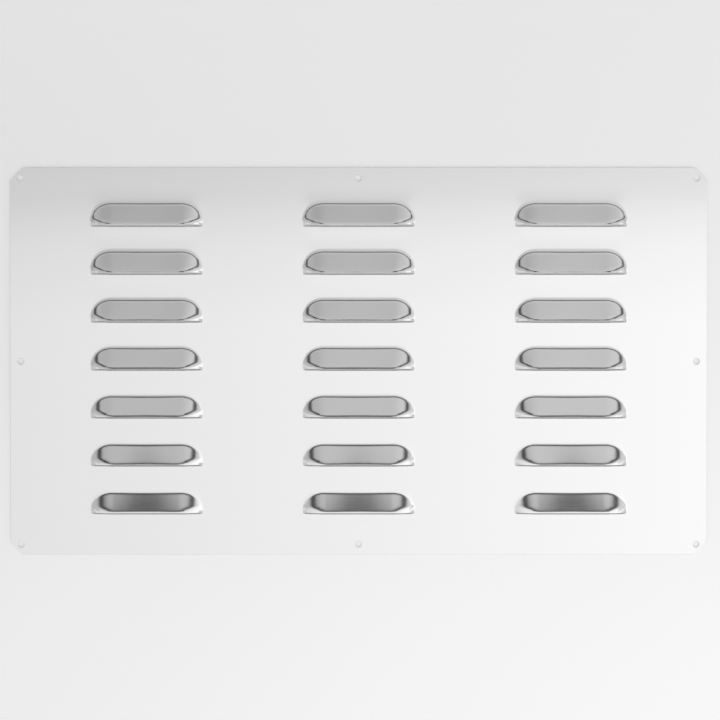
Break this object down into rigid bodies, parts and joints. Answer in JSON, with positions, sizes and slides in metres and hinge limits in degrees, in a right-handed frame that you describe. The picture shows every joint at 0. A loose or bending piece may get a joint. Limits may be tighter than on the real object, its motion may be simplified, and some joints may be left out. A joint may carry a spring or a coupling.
{
  "type": "louvred sheet metal panel",
  "caption": "Flat rectangular vent panel of sheet steel with a grid of stamped half-hood louvres that open downwards, clipped corners and screw holes round the rim.",
  "frame": {"origin": "centre of the back face, which is the plane that the panel is fixed or laid on", "axes": "+X along the panel's width, +Y towards its top edge (the louvres open towards -Y), +Z out of the louvred front face"},
  "size_m": [0.4572, 0.254, 0.0072],
  "materials": {
    "stainless_steel": "satin stainless sheet, faint fine grain"
  },
  "bodies": {
    "root": {"louvred_panel": "stainless_steel"}
  },
  "joints": []
}
